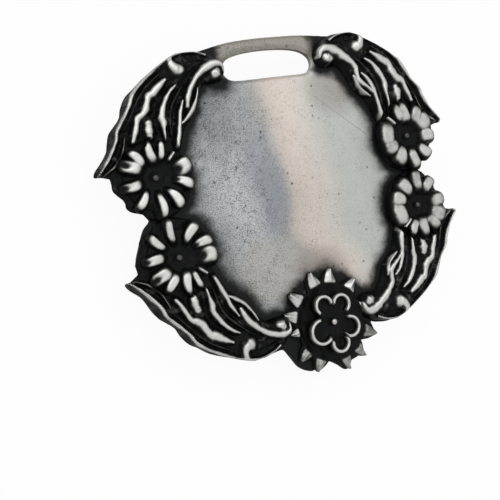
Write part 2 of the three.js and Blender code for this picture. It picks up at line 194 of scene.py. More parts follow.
card = bpy.data.materials.new("pale_card")
bench = Bench(card)
seen = bench.add("ShaderNodeLightPath", {}, out=0)
paper = bench.add("ShaderNodeBsdfDiffuse", {}, Color=(0.86, 0.86, 0.86, 1))
lit = bench.add("ShaderNodeEmission", {}, Color=(1, 1, 1, 1), Strength=1.0)
both = bench.add("ShaderNodeMixShader", {}, seen * 0.93, paper, lit)
bench.add("ShaderNodeOutputMaterial", {}, both)
reach = 3.0
bpy.ops.mesh.primitive_plane_add(size=2 * reach, location=(0, 0, table_height))
table = bpy.context.object
table.name = "table"
table.data.materials.append(card)
table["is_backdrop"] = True

room = bpy.data.worlds.new("studio")
bpy.context.scene.world = room
bench = Bench(room)
way = bench.add("ShaderNodeTexCoord", {}, out=0)
across = bench.add("ShaderNodeSeparateXYZ", {}, way, out=0)
upward = Wire(bench, across.socket.node.outputs[2])
glow = upward.ramp(-0.1, 0.7) * 0.6 + 0.3
walls = bench.add("ShaderNodeBackground", {}, Color=(1, 1, 1, 1), Strength=glow)
backdrop = bench.add("ShaderNodeBackground", {}, Color=(1, 1, 1, 1), Strength=1.0)
looked_at = bench.add("ShaderNodeLightPath", {}, out=0)
bench.add("ShaderNodeOutputWorld", {}, bench.add("ShaderNodeMixShader", {}, looked_at, walls, backdrop))


def soft_light(name, place, size, power):
    """A square light that faces the buckle."""
    lamp = bpy.data.lights.new(name, "AREA")
    lamp.size = size
    lamp.energy = power
    holder = bpy.data.objects.new(name, lamp)
    bpy.context.scene.collection.objects.link(holder)
    holder.location = place
    holder.rotation_mode = "QUATERNION"
    holder.rotation_quaternion = holder.location.normalized().to_track_quat("Z", "Y")
    return holder


soft_light("overhead_light", (0.1, 0.45, 0.9), 0.7, 1.7)
soft_light("side_light", (-0.55, 0.45, 0.5), 0.25, 0.7)

# The camera looks down at the plate from its left, 25 degrees off square.
camera_place = np.array([-76.53, -5.34, 137.13])
to_right = np.array([0.88552, -0.21670, 0.41097])
to_top = np.array([0.20214, 0.97615, 0.07917])
camera = bpy.data.objects.new("camera", bpy.data.cameras.new("camera"))
bpy.context.scene.collection.objects.link(camera)
camera.data.sensor_width = 36
camera.data.lens = 50.4
camera.data.clip_start = 0.01
to_right /= np.linalg.norm(to_right)
to_top -= to_right * np.dot(to_top, to_right)
to_top /= np.linalg.norm(to_top)
turn = np.eye(4)
turn[:3, 0], turn[:3, 1], turn[:3, 2] = to_right, to_top, np.cross(to_right, to_top)
turn[:3, 3] = camera_place * 0.001
camera.matrix_world = Matrix(turn)
bpy.context.scene.camera = camera
bpy.context.scene.view_settings.view_transform = "Standard"

# ---------------------------------------------------------------------------------------------
# The plate: rolled silver, sawn to the ornament's outline, with the strap slot pierced under a
# rounded bar. The field is polished by wear and carries painted reflections and painted shade; black
# oxide, with painted shadow of the ornament, is left in the lee of the ornament.

plate_thickness = 1.6
field_rise = 0.6


def spline(points, count, closed=False):
    """count points along a smooth curve through the given ones: each stretch is a cubic whose slope
    at a given point is half the step between that point's two neighbours."""
    p = np.array(points, float)
    if closed:
        p = np.vstack([p[-1:], p, p[:2]])
    else:
        p = np.vstack([2 * p[0] - p[1], p, 2 * p[-1] - p[-2]])
    spans = len(p) - 3
    u = np.linspace(0, spans, count, endpoint=not closed)
    k = np.minimum(u.astype(int), spans - 1)
    t = (u - k)[:, None]
    a, b, c, d = p[k], p[k + 1], p[k + 2], p[k + 3]
    return 0.5 * (
        2 * b + (c - a) * t + (2 * a - 5 * b + 4 * c - d) * t**2 + (3 * b - a - 3 * c + d) * t**3
    )


def evened(curve, count, closed=False):
    """The same curve with count points at equal distances."""
    p = np.vstack([curve, curve[:1]]) if closed else curve
    far = np.concatenate([[0], np.cumsum(np.linalg.norm(np.diff(p, axis=0), axis=1))])
    s = np.linspace(0, far[-1], count, endpoint=not closed)
    return np.stack([np.interp(s, far, p[:, i]) for i in range(p.shape[1])], -1)


def near(x, y, curve):
    """Distance from each point to a curve, and how far along the curve the nearest place is, 0 to 1."""
    flat = np.stack([np.ravel(x), np.ravel(y)], -1).astype(np.float32)
    line = curve.astype(np.float32)
    best = np.empty(len(flat), np.float32)
    which = np.empty(len(flat), int)
    for start in range(0, len(flat), 20000):
        part = flat[start : start + 20000]
        apart = ((part[:, None] - line[None]) ** 2).sum(-1)
        which[start : start + 20000] = apart.argmin(1)
        best[start : start + 20000] = np.sqrt(apart.min(1))
    return best.reshape(np.shape(x)), (which / (len(line) - 1)).reshape(np.shape(x))


def step(value, low, high):
    """0 below low, 1 above high, smooth between."""
    t = np.clip((value - low) / (high - low), 0, 1)
    return t * t * (3 - 2 * t)


def wander(x, y, seed, scale):
    """Smooth unevenness from -1 to 1: a sum of eight waves of random ways and lengths near scale."""
    rng = np.random.default_rng(seed)
    total = np.zeros(np.shape(x))
    for way, length, phase in zip(rng.uniform(0, 2 * np.pi, 8), rng.uniform(0.6, 1.6, 8), rng.uniform(0, 6.3, 8)):
        total += np.sin((x * np.cos(way) + y * np.sin(way)) * 2 * np.pi / (scale * length) + phase)
    return total / 4


left_edge = [
    (0, 37.9), (-6, 37.7), (-10, 37.3), (-16, 36.3), (-20, 35.6), (-25, 34.0), (-30, 30.7), (-34, 27.3),
    (-38, 21.6), (-40.2, 17.6), (-42.9, 14.1), (-41.2, 13.0), (-39.9, 12.4), (-39.9, 10.6), (-38.9, 8.9),
    (-38.1, 7.0), (-37.2, 5.4), (-34.6, 4.5), (-34.3, 2.9), (-36.0, 1.2), (-37.8, -2.3), (-38.8, -4.7),
    (-38.6, -6.8), (-41.5, -9.2), (-39.2, -12.0),
    (-37.2, -16), (-34, -19.3), (-31.7, -22.6), (-28, -26.2), (-22, -28.9), (-17, -30.3), (-13.5, -29.9),
]
rosette_edge = [
    (-11.2, -30.0), (-9.8, -32.2), (-8.3, -34.7), (-5.6, -36.2), (-3.0, -35.2), (-0.9, -35.3), (1.2, -36.7),
    (3.0, -38.2), (4.6, -36.6), (6.6, -36.1), (7.4, -34.4), (7.9, -32.9), (10.6, -32.9), (12.3, -31.7), (11.9, -29.4),
]
edge = left_edge + rosette_edge + [(-x, y) for x, y in left_edge[:0:-1]]
around = 640
edge = evened(spline(edge, 2400, closed=True), around, closed=True)


def hand_set(x, y):
    """The plate is not quite even: its upper right corner is struck fuller, up to a millimetre out, and
    its upper left one half a millimetre in."""
    full = step(x, 0, 24) * step(y, 12, 32) - 0.5 * step(-x, 8, 28) * step(y, 10, 30)
    return x + 0.6 * np.abs(full) * np.where(x > 0, 1, 0.9), y + 0.95 * full


edge = np.stack(hand_set(*edge.T), -1)

# The slot, pierced with a bowed upper edge and round ends.
slot_low, slot_high = 29.2, 35.3
slot_middle = np.array([0.0, 32.1])
slot_edge = [
    (0, 35.35), (-5, 35.1), (-8.5, 34.4), (-10.5, 33.2), (-11.2, 31.6), (-10.6, 30.0), (-8.8, 29.1), (-4, 29.0),
    (0, 29.0), (4, 29.0), (8.8, 29.1), (10.6, 30.0), (11.2, 31.6), (10.5, 33.2), (8.5, 34.4), (5, 35.1),
]
slot_edge = spline(slot_edge, 1600, closed=True)


def seen_from(middle, curve, ways):
    """The point of a closed curve that lies each way from the middle."""
    arm = curve - middle
    turned = np.unwrap(np.arctan2(arm[:, 1], arm[:, 0]))
    if turned[-1] < turned[0]:
        turned, curve = turned[::-1], curve[::-1]
    turned = turned - 2 * np.pi * np.floor(turned[0] / (2 * np.pi))
    order = np.argsort(np.mod(turned, 2 * np.pi))
    t, c = np.mod(turned, 2 * np.pi)[order], curve[order]
    t = np.concatenate([[t[-1] - 2 * np.pi], t, [t[0] + 2 * np.pi]])
    c = np.vstack([c[-1:], c, c[:1]])
    at = np.mod(ways, 2 * np.pi)
    return np.stack([np.interp(at, t, c[:, 0]), np.interp(at, t, c[:, 1])], -1)


# A smooth ring inside the rim, so that the grid's lines from the slot to the rim never cross: the rim's
# distance from the plate's middle, averaged over a tenth of a turn and drawn in.
plate_middle = np.array([0.0, 1.0])
reach_out = edge - plate_middle
rim_far = np.linalg.norm(reach_out, axis=1)
outward = reach_out / rim_far[:, None]
bell = np.exp(-((np.arange(-60, 61) / 26) ** 2))
even_far = np.convolve(np.concatenate([rim_far[-60:], rim_far, rim_far[:60]]), bell / bell.sum(), "valid")
drawn_in_by = 0.9 + 0.07 * step(outward[:, 1], 0.5, 0.85)
ring = plate_middle + outward * np.minimum(even_far * drawn_in_by, rim_far * 0.975)[:, None]
arm = ring - slot_middle
slot_points = seen_from(slot_middle, slot_edge, np.arctan2(arm[:, 1], arm[:, 0]))


def ornament_outlines():
    """Closed curves round everything that stands on the plate, where oxide and painted shadow gather."""
    curves = []
    for sign in (-1, 1):
        for middle, flip in ((upper_middle, 1), (lower_middle, -1)):
            x0, y0 = middle
            c, s = np.cos(spray_turn[flip]), np.sin(spray_turn[flip])
            local = spline(spray_inner, 80)
            x = -x0 + local[:, 0] * c - local[:, 1] * s
            y = y0 + flip * (local[:, 0] * s + local[:, 1] * c)
            curves.append(np.stack(hand_set(-sign * x, y), -1))
            ring = np.linspace(0, 2 * np.pi, 60)
            curves.append(np.stack([-sign * (-x0 + 7.6 * np.cos(ring)), y0 + 7.6 * np.sin(ring)], -1))
    ring = np.linspace(0, 2 * np.pi, 80)
    curves.append(np.stack([rosette_x + 10.2 * np.cos(ring), rosette_y + 10.2 * np.sin(ring)], -1))
    return np.vstack(curves)


daisy_low, daisy_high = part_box("daisy_rivet_upper_left")
upper_middle = (-(daisy_low.x + daisy_high.x) * 500, (daisy_low.y + daisy_high.y) * 500)
daisy_low, daisy_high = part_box("daisy_rivet_lower_left")
lower_middle = (-(daisy_low.x + daisy_high.x) * 500, (daisy_low.y + daisy_high.y) * 500)
spray_turn = {1: np.radians(53.4), -1: np.radians(49.9)}
rosette_low, rosette_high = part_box("rosette_rivet")
rosette_x = (rosette_low.x + rosette_high.x) * 500
rosette_y = (rosette_low.y + rosette_high.y) * 500
spray_inner = [
    (-8.2, -2.5), (-6, -6), (-1, -8.2), (4, -6.6), (7, -3.2), (9, -2.4), (13, -1.5), (17, -2), (21, -1.3), (24, -1.6),
    (25.6, -4.1), (27.2, -4.7), (29.3, -3.6), (30.1, -1.4), (30.0, 0.8), (28.8, 3.6), (26.5, 6.8),
]

# Rows run from the slot's edge over the front, round the rim, under the back and up the slot's wall.
def from_slot_to_rim(rows_to_ring, rows_to_rim):
    """Rows of points straight from the slot's edge to the ring, closer near the slot, then to the rim."""
    first = np.linspace(0, 1, rows_to_ring)[:, None, None] ** 1.3
    last = np.linspace(0, 1, rows_to_rim + 1)[1:, None, None]
    return np.concatenate([slot_points + (ring - slot_points) * first, ring + (edge - ring) * last])


front = from_slot_to_rim(96, 16)
front_rows = len(front)


def to_edges(x, y):
    """How far each point of the front is from the slot's edge and from the plate's rim."""
    from_slot = near(x, y, evened(slot_edge, 200, closed=True))[0]
    from_rim = near(x, y, evened(edge, 500, closed=True))[0]
    return from_slot, from_rim


fx, fy = front[..., 0], front[..., 1]
from_slot, from_rim = to_edges(fx, fy)
field_middle = (0.0, 7.3)
away = np.sqrt(((fx - field_middle[0]) / 20.5) ** 2 + ((fy - field_middle[1]) / 20.5) ** 2)
fz = plate_thickness + field_rise * 0.9 * (1 - step(away, 0.1, 1.05))
fz += 0.05 * wander(fx, fy, 3, 16) * (1 - step(away, 0.7, 1.1))
# The slot's edge and the rim are rubbed round, the slot's the more.
fz -= 0.42 * np.exp(-((from_slot / 0.55) ** 1.5)) + 0.35 * np.exp(-((from_rim / 0.5) ** 1.5))
front_skin = np.concatenate([front, fz[..., None]], -1)

rim_rows = [np.column_stack([edge, np.full(around, z)]) for z in (1.05, 0.75, 0.4)]
rim_rows += [np.column_stack([edge - inset * outward, np.full(around, z)]) for inset, z in ((0.12, 0.08), (0.4, 0))]
back = from_slot_to_rim(18, 5)[-2:0:-1]
back_skin = np.concatenate([back, np.zeros(back.shape[:2])[..., None]], -1)
wall_rows = [np.column_stack([slot_points, np.full(around, z)]) for z in (0.12, 0.5, 0.9)]
skin = np.concatenate([front_skin, np.array(rim_rows), back_skin, np.array(wall_rows)])

# Oxide and painted shadow of the ornament: full against the ornament, gone one and a half to four millimetres out. The
# painted shadow reaches further in at the lower left.
ornament = ornament_outlines()
px, py = skin[..., 0], skin[..., 1]
lee, _ = near(px, py, ornament)
# The last term draws the painted shadow of the lower left flower further in.
reach_of_oxide_and_shadow = 3.2 + 1.0 * wander(px, py, 11, 13) + 0.5 * wander(px, py, 12, 4) + 1.3 * step(-px, 12, 20) * step(-py, -4, 4)
oxide = np.exp(-((lee / reach_of_oxide_and_shadow) ** 1.7) * 1.6)
oxide = np.maximum(oxide, step(np.abs(px) + 0.25 * py, 30, 33))
oxide = np.maximum(oxide, step(-py, 24, 27))
bar_end = step(np.abs(px) + 0.6 * wander(px, py, 13, 4), 9.3, 13.5)
oxide = np.maximum(oxide * (1 - step(py, 29, 31) * (1 - bar_end)), bar_end * step(py, 29.5, 32))
under = np.zeros(skin.shape[:2])
under[front_rows + 3 :] = 1
oxide = oxide * (1 - under) + 0.25 * under

bare_silver = bpy.data.materials.new("field_silver")
bench = Bench(bare_silver)
place = bench.add("ShaderNodeTexCoord", {}, out=3)
axes = bench.add("ShaderNodeSeparateXYZ", {}, place)
x_mm, y_mm, z_mm = (Wire(bench, axes.socket.node.outputs[i]) * 1000 for i in range(3))
# The share of oxide and painted shadow round the ornament.
oxide_and_shadow_share = bench.add("ShaderNodeAttribute", {"attribute_name": "oxide"}, out=2)


def cloud(bench, place, scale, detail=3.0, rough=0.5):
    """Cloudy unevenness from 0 to 1, with this many clouds to a metre."""
    return bench.add(
        "ShaderNodeTexNoise", {}, Vector=place, Scale=scale, Detail=detail, Roughness=rough
    )


drift = cloud(bench, place, 60, 2)
swirl = cloud(bench, place, 95, 3)
# The field's colour bands, cool grey on the left, warm cream in the middle and pale on the right, are painted
# reflections of the room.
band = x_mm + (y_mm - 8) * 0.04 - (1 - y_mm.ramp(-15, -5)) * 4 + (drift - 0.5) * 8 + (swirl - 0.5) * 3
reflection_tints = [
    (-24, (160, 163, 163)), (-17, (178, 181, 182)), (-9, (174, 178, 179)), (-5, (166, 166, 164)),
    (-1.5, (198, 189, 180)), (3, (211, 201, 192)), (8, (206, 202, 196)),
    (12, (193, 195, 191)), (18, (191, 194, 191)), (23, (186, 188, 185)),
]
tint = bench.add(
    "ShaderNodeValToRGB",
    {"stops": [((mm + 24) / 47, linear(*c)) for mm, c in reflection_tints]},
    (band + 24) * (1 / 47),
)
# Patches on the field, mostly painted reflection and painted shade, with pinkish oxide above the rosette: middle, half
# width and half height in millimetres, colour and strength.
reflection_and_shade_patches = [
    (-7, 6, 5.5, 14, (143, 148, 154), 0.85), (-17, 23, 11, 11, (130, 134, 134), 0.7), (-13, 1, 5, 9, (193, 195, 197), 0.6),
    (-9, -13, 11, 8, (181, 177, 170), 0.65), (1.5, -14, 8, 5, (158, 150, 144), 0.7), (15, 25, 8, 7, (160, 153, 147), 0.7),
]
for patch_x, patch_y, half_x, half_y, colour, strength in reflection_and_shade_patches:
    out_x, out_y = (x_mm - patch_x) * (1 / half_x), (y_mm - patch_y) * (1 / half_y)
    patch = (1 - (out_x * out_x + out_y * out_y + (swirl - 0.5) * 0.8).ramp(0.0, 1.25)) * strength
    laid = bench.add("ShaderNodeMix", {"data_type": "RGBA"}, out=2)
    laid_node = laid.socket.node
    bench.tree.links.new(patch.socket, laid_node.inputs[0])
    bench.tree.links.new(tint.socket, laid_node.inputs[6])
    laid_node.inputs[7].default_value = (*linear(*colour), 1)
    tint = laid
# Pits: fine and thick on the left, few on the right.
left_side = 1 - (x_mm + 3).ramp(-16, 9)
pit_size = cloud(bench, place, 4300, 2, 0.7)
pit_patch = cloud(bench, place, 330, 3)
pits = (pit_size + pit_patch * 0.2 + left_side * 0.1).ramp(0.67, 0.8)
specks = bench.add("ShaderNodeTexVoronoi", {"feature": "F1"}, Vector=place, Scale=520.0)
chosen = cloud(bench, place, 160, 2)
specks = (1 - specks.ramp(0.08, 0.2)) * chosen.ramp(0.55, 0.62)
grain = cloud(bench, place, 1500, 3, 0.7)
edge_break = cloud(bench, place, 900, 4, 0.65)
veil = (oxide_and_shadow_share * 1.12 + (edge_break - 0.5) * 0.5 * oxide_and_shadow_share.ramp(0.02, 0.4)).ramp(0.02, 0.98)
stain = (pits * 0.55 + specks * 0.6 + (grain.ramp(0.5, 0.75) * (0.12 + 0.3 * left_side))).at_most(1.0)
dark = (veil + stain - veil * stain).at_most(1.0)
back_side = 1 - (z_mm).ramp(0.02, 0.3)
# From the slot's middle up over the bar the field turns a warm grey.
greyer_bar = bench.add("ShaderNodeMix", {"data_type": "RGBA"}, out=2)
bar_node = greyer_bar.socket.node
bench.tree.links.new(((y_mm + (drift - 0.5) * 3).ramp(30.5, 33.5) * 0.92).socket, bar_node.inputs[0])
bench.tree.links.new(tint.socket, bar_node.inputs[6])
bar_node.inputs[7].default_value = (*linear(150, 145, 137), 1)
silver = bench.add("ShaderNodeMix", {"data_type": "RGBA"}, out=2)
silver_node = silver.socket.node
bench.tree.links.new(back_side.socket, silver_node.inputs[0])
bench.tree.links.new(greyer_bar.socket, silver_node.inputs[6])
silver_node.inputs[7].default_value = (*linear(168, 166, 160), 1)
blended = bench.add("ShaderNodeMix", {"data_type": "RGBA"}, out=2)
blend_node = blended.socket.node
bench.tree.links.new(dark.socket, blend_node.inputs[0])
bench.tree.links.new(silver.socket, blend_node.inputs[6])
blend_node.inputs[7].default_value = (*linear(24, 25, 25), 1)
rub = bench.add("ShaderNodeMapping", {}, place, None, (0.0, 0.0, 0.9), (40.0, 900.0, 40.0))
scratches = cloud(bench, rub, 1.0, 2)
bump = bench.add(
    "ShaderNodeBump", {}, 0.35, 0.00006, Height=grain * 0.4 + scratches * 0.5 - stain * 1.2 + edge_break * veil * 0.8
)
shader = bench.add(
    "ShaderNodeBsdfPrincipled", {},
    Base_Color=blended, Metallic=1 - dark * 0.75, Roughness=0.36 + grain * 0.1 + dark * 0.12, Normal=bump,
    Specular_IOR_Level=0.15,
)
bench.add("ShaderNodeOutputMaterial", {}, shader)

# The plate carries its share of oxide and painted shadow round the ornament.
build(
    "belt_plate", skin, quads(len(skin), around, True, True), stands_for=("plate",),
    finish=(bare_silver, "silver"), marks={"oxide": oxide},
)

# ---------------------------------------------------------------------------------------------
# Sprays: cast scrollwork in two mirrored patterns, blackened all over and rubbed bright on the
# crests. Each lies flat on the plate, and its round end carries a daisy.

spray_foot, ground_top, crest_top = 1.63, 2.62, 4.2
spray_outer = [
    (-8.2, -2.5), (-7.6, -0.6), (-8.2, 1.2), (-8.0, 2.6), (-6.9, 3.5), (-6.5, 5.2), (-6.0, 6.5), (-4.9, 7.3),
    (-4.1, 8.2), (-4.6, 9.6), (-5.3, 10.8), (-4.2, 11.2), (-2, 10.9), (0, 10.8), (2, 11.5),
    (4, 12.1), (6, 11.9), (8, 11.7), (10, 12.3), (12.5, 12.5), (15, 11.8), (18, 10.9), (22, 9.3), (25, 7.8), (26.5, 6.8),
]
# Each crest: its line, its half widths from end to end, height as a share of the full height, and how
# bright it is rubbed.
shared_crests = [
    ([(-5.0, 10.3), (-2, 10.1), (0, 10.1), (3, 10.4), (5, 11.1), (8, 11.1), (11, 11.2), (13, 11.6), (15.5, 11.3),
      (18, 10.6), (22, 9.3), (25, 7.6), (27, 5.7), (28.3, 3.2), (28.8, 1.2)],
     [0.25, 0.45, 0.5, 0.42, 0.52, 0.38, 0.52, 0.4, 0.3, 0.28], 0.86, 0.92),
    ([(4.5, 7.3), (7, 7.9), (9.3, 8.6), (10.6, 8.1), (12.2, 8.0), (14.5, 8.6), (15.6, 8.1), (17.2, 7.7), (19.5, 6.9)],
     [0.5, 0.62, 0.66, 0.85, 0.98, 0.8, 1.0, 0.75, 0.4], 0.95, 1.0),
    ([(8, 1.5), (9.5, 2.5), (11, 3.4), (12.5, 4.5), (15, 5.1), (17.5, 5.1), (19.6, 4.5)],
     [0.2, 0.4, 0.85, 0.75, 0.65, 0.5, 0.25], 0.92, 0.97),
    ([(7.4, 5.0), (8.4, 5.6), (9.4, 6.1)], [0.75, 1.05, 0.9], 0.9, 1.0),
    ([(6.2, 4.0), (6.9, 4.2), (7.6, 4.8)], [0.3, 0.4, 0.6], 0.8, 0.8),
    ([(26.0, 7.2), (24.4, 7.8), (23.2, 7.2), (22.7, 6.0), (23.0, 5.0)], [0.3, 0.45, 0.7, 1.1, 1.3], 0.95, 1.0),
    ([(26.1, -2.3), (26.5, -2.5), (26.9, -2.6)], [0.95, 1.2, 1.0], 1.0, 1.0),
    ([(-4.2, 9.3), (-1.8, 8.3), (0.4, 7.9), (2.4, 8.4), (4.6, 9.2)], [0.15, 0.3, 0.42, 0.2, 0.12], 0.6, 0.62),
    ([(6, 9.8), (9, 9.9), (12, 10.1), (16, 9.8), (20, 8.5)], [0.15, 0.28, 0.3, 0.28, 0.15], 0.42, 0.4),
    ([(9.5, 0.6), (12, 2.2), (15, 3.3), (18.5, 3.3), (21.5, 3.0)], [0.15, 0.3, 0.35, 0.3, 0.15], 0.5, 0.42),
    ([(24.2, 3.0), (26.2, 2.2), (27.4, 0.7)], [0.3, 0.5, 0.3], 0.35, 0.3),
]
left_hand_crests = [
    ([(3.8, -0.7), (5.5, -1.4), (8, -1.3), (10.5, -0.5), (13, 0.5), (15, 1.3), (17.4, 1.8)],
     [0.5, 0.42, 0.48, 0.6, 0.55, 0.52, 0.25], 0.95, 1.0),
    ([(16.8, 0.4), (19, 1.2), (22, 1.3), (25, 0.7), (27, -0.4), (28.4, -1.7), (28.7, -3.1), (27.8, -4.1)],
     [0.5, 0.75, 0.72, 0.7, 0.85, 0.95, 0.7, 0.35], 1.0, 1.0),
    ([(12.8, 0), (14.5, -0.6), (17, -1), (19.5, -0.7), (21.5, -0.1)], [0.3, 0.6, 0.62, 0.4, 0.2], 0.85, 0.9),
]
right_hand_crests = [
    ([(5, -2.4), (7, -2.2), (9.5, -1), (12, 0.3), (14, 1.1), (16, 1.5), (18, 1.3)],
     [0.9, 0.8, 0.65, 0.6, 0.65, 0.5, 0.3], 0.95, 0.95),
    ([(12.5, 0.6), (15, 0.1), (17.5, -0.4), (19, 0.3), (20.3, 1.1), (23, 0.9), (26, 0.2), (28, -0.8), (28.9, -2.2), (28.3, -3.7)],
     [0.3, 0.45, 0.7, 0.75, 0.8, 0.95, 1.05, 0.95, 0.6], 1.0, 0.97),
    ([(13, -0.6), (15, -1.2), (17, -1.3), (19, -0.6)], [0.2, 0.4, 0.45, 0.3], 0.75, 0.85),
]


def crest_relief(x, y, crests, seed, fullness):
    """Height over the ground as a share, and brightness: the highest of the crests at each place. A
    crest falls away as e to the minus (distance / half width) to the 2.6, and dips at its ends."""
    height = np.zeros(np.shape(x))
    bright = np.zeros(np.shape(x))
    rng = np.random.default_rng(seed)
    for line, halves, high, rubbed in crests:
        far, along = near(x, y, evened(spline(line, 160), 90))
        knotty = 1 + 0.1 * np.sin(along * rng.uniform(5, 9) + rng.uniform(0, 6)) + 0.14 * wander(x, y, seed + 5, 2.2)
        width = np.interp(along, np.linspace(0, 1, len(halves)), halves) * knotty * fullness
        end = np.clip(np.minimum(along, 1 - along) / 0.1, 0, 1)
        rise = np.exp(-((far / (width * 1.35)) ** 2.6)) * high * (0.88 + 0.12 * end)
        height = np.maximum(height, rise)
        bright = np.maximum(bright, np.exp(-((far / (width * 0.86)) ** 3.2)) * rubbed)
    return height, bright


def spray_skin(crests, seed, fullness):
    """Rows run from the round end to the nose. Each goes over the top from the inner edge to the outer,
    down the wall and back underneath. Returns local points and brightness."""
    rows, across = 400, 120
    inner = evened(spline(spray_inner, 1200), rows)
    outer = evened(spline(spray_outer, 1200), rows)
    t = np.linspace(0, 1, across)
    t = 0.5 - 0.5 * np.cos(np.pi * t) * (1 - 0.25 * np.sin(np.pi * t))
    flat = inner[:, None] + (outer - inner)[:, None] * t[None, :, None]
    x, y = flat[..., 0], flat[..., 1]
    height, bright = crest_relief(x, y, crests, seed, fullness)
    rim_line = evened(np.vstack([spline(spray_inner, 400), spline(spray_outer, 400)[::-1]]), 500)
    from_rim = near(x, y, rim_line)[0]
    ground = ground_top + 0.16 * wander(x, y, seed, 3.2) + 0.1 * wander(x, y, seed + 1, 1.3)
    pad = step(np.hypot(x, y), 7.2, 8.6)
    ground = 2.45 + (ground - 2.45) * pad
    height = height * pad
    top = ground + (crest_top - ground) * height
    top = spray_foot + (top - spray_foot) * (1 - np.exp(-(((from_rim + 0.02) / 0.32) ** 1.1)))
    seam = np.concatenate([flat, top[..., None]], -1)
    low = np.column_stack([outer, np.full(rows, spray_foot)])[:, None]
    under = inner[:, None] + (outer - inner)[:, None] * np.array([0.8, 0.5, 0.2])[None, :, None]
    under = np.concatenate([under, np.full((rows, 3, 1), spray_foot)], -1)
    low_in = np.column_stack([inner, np.full(rows, spray_foot)])[:, None]
    points = np.concatenate([seam, low, under, low_in], 1)
    bright = np.maximum(bright, 0.42 * step(wander(x, y, seed, 3.2) + 0.5 * wander(x, y, seed + 1, 1.3), 0.1, 0.9))
    bright = np.concatenate([bright * pad, np.zeros((rows, 5))], 1)
    return points, bright


def set_in_place(points, level, side):
    """Local points of a spray or daisy turned on to the plate, mirrored for the lower and right ones."""
    flip = 1 if level == "upper" else -1
    x0, y0 = upper_middle if level == "upper" else lower_middle
    c, s = np.cos(spray_turn[flip]), np.sin(spray_turn[flip])
    x = -x0 + points[..., 0] * c - points[..., 1] * s
    y = y0 + flip * (points[..., 0] * s + points[..., 1] * c)
    x, y = hand_set(x if side == "left" else -x, y)
    return np.stack([x, y, points[..., 2]], -1)


rubbed_silver = bpy.data.materials.new("rubbed_silver")
bench = Bench(rubbed_silver)
place = bench.add("ShaderNodeTexCoord", {}, out=3)
rubbed = bench.add("ShaderNodeAttribute", {"attribute_name": "rubbed"}, out=2)
breakup = cloud(bench, place, 700, 4, 0.6)
fine = cloud(bench, place, 2200, 3, 0.6)
clean = (rubbed + (breakup - 0.5) * 0.55).ramp(0.2, 0.98)
tone = bench.add(
    "ShaderNodeValToRGB",
    {"stops": [(0, linear(11, 12, 12)), (0.3, linear(58, 59, 57)), (0.62, linear(136, 136, 132)), (1, linear(203, 204, 201))]},
    clean,
)
bump = bench.add("ShaderNodeBump", {}, 0.4, 0.00008, Height=fine * 0.5 + breakup * 0.7)
shader = bench.add(
    "ShaderNodeBsdfPrincipled", {},
    Base_Color=tone, Metallic=0.25 + clean * 0.75, Roughness=0.42 - clean * 0.1 + fine * 0.08, Normal=bump,
    Specular_IOR_Level=0.13,
)
bench.add("ShaderNodeOutputMaterial", {}, shader)
spray_seeds = {"upper_left": 21, "lower_left": 31, "upper_right": 41, "lower_right": 51}
for spot, seed in spray_seeds.items():
    level, side = spot.split("_")
    # Upper left and lower right are struck from one pattern, the other two from its pair.
    own = left_hand_crests if side == "left" else right_hand_crests
    points, bright = spray_skin(shared_crests + own, seed, 1.06 if side == "left" else 1.2)
    build(
        f"scrollwork_{spot}", set_in_place(points, level, side), quads(*points.shape[:2], False, True),
        stands_for=(f"spray_{spot}",), finish=(rubbed_silver, "oxidised_silver"), marks={"rubbed": bright},
    )

# ---------------------------------------------------------------------------------------------
# Daisies: cast flowers of ten uneven petals round a sunk eye. Petal tops are rubbed bright.

daisy_foot, daisy_floor, petal_top = 2.66, 3.4, 4.68
# Each petal: its way in degrees, where it starts and ends, half width at its tip and at its root, height as
# a share, and where its scoop lies: 1 is at the tip, 0 in the middle, None where it has none.
petals = [
    (97, 3.3, 7.9, 1.1, 1.25, 0.97, 0.55), (73, 3.4, 7.6, 0.8, 0.95, 1.0, None), (36, 3.0, 7.7, 0.6, 1.05, 1.0, None),
    (15, 3.7, 7.7, 0.6, 0.62, 0.92, None), (-41, 4.1, 8.1, 1.6, 1.5, 1.0, -0.75), (-71, 3.7, 8.0, 1.2, 0.65, 0.95, -1.0),
    (-107, 3.2, 7.9, 1.2, 0.65, 1.0, None), (-148, 3.2, 8.2, 0.85, 0.7, 1.0, None), (176, 3.5, 7.7, 0.9, 0.65, 0.95, None),
    (135, 3.3, 7.6, 0.85, 1.0, 0.95, 0.9),
]


def polar(rings, ways, outline):
    """A grid of flat points from the middle out to an outline given as a radius for each way."""
    t = np.linspace(0, 1, rings)
    t = t**0.85
    r = t[:, None] * outline[None]
    return r * np.cos(ways)[None], r * np.sin(ways)[None], r


def flower_skin(x, y, top, foot):
    """Closes a flower: its top, then its wall, then its flat foot back to the middle."""
    upper = np.stack([x, y, top], -1)
    rows = [upper]
    for scale, z in ((1.0, foot + 0.25), (0.985, foot), (0.5, foot), (0.0, foot)):
        rows.append(np.stack([x[-1:] * scale, y[-1:] * scale, np.full_like(x[-1:], z)], -1))
    return np.concatenate(rows)


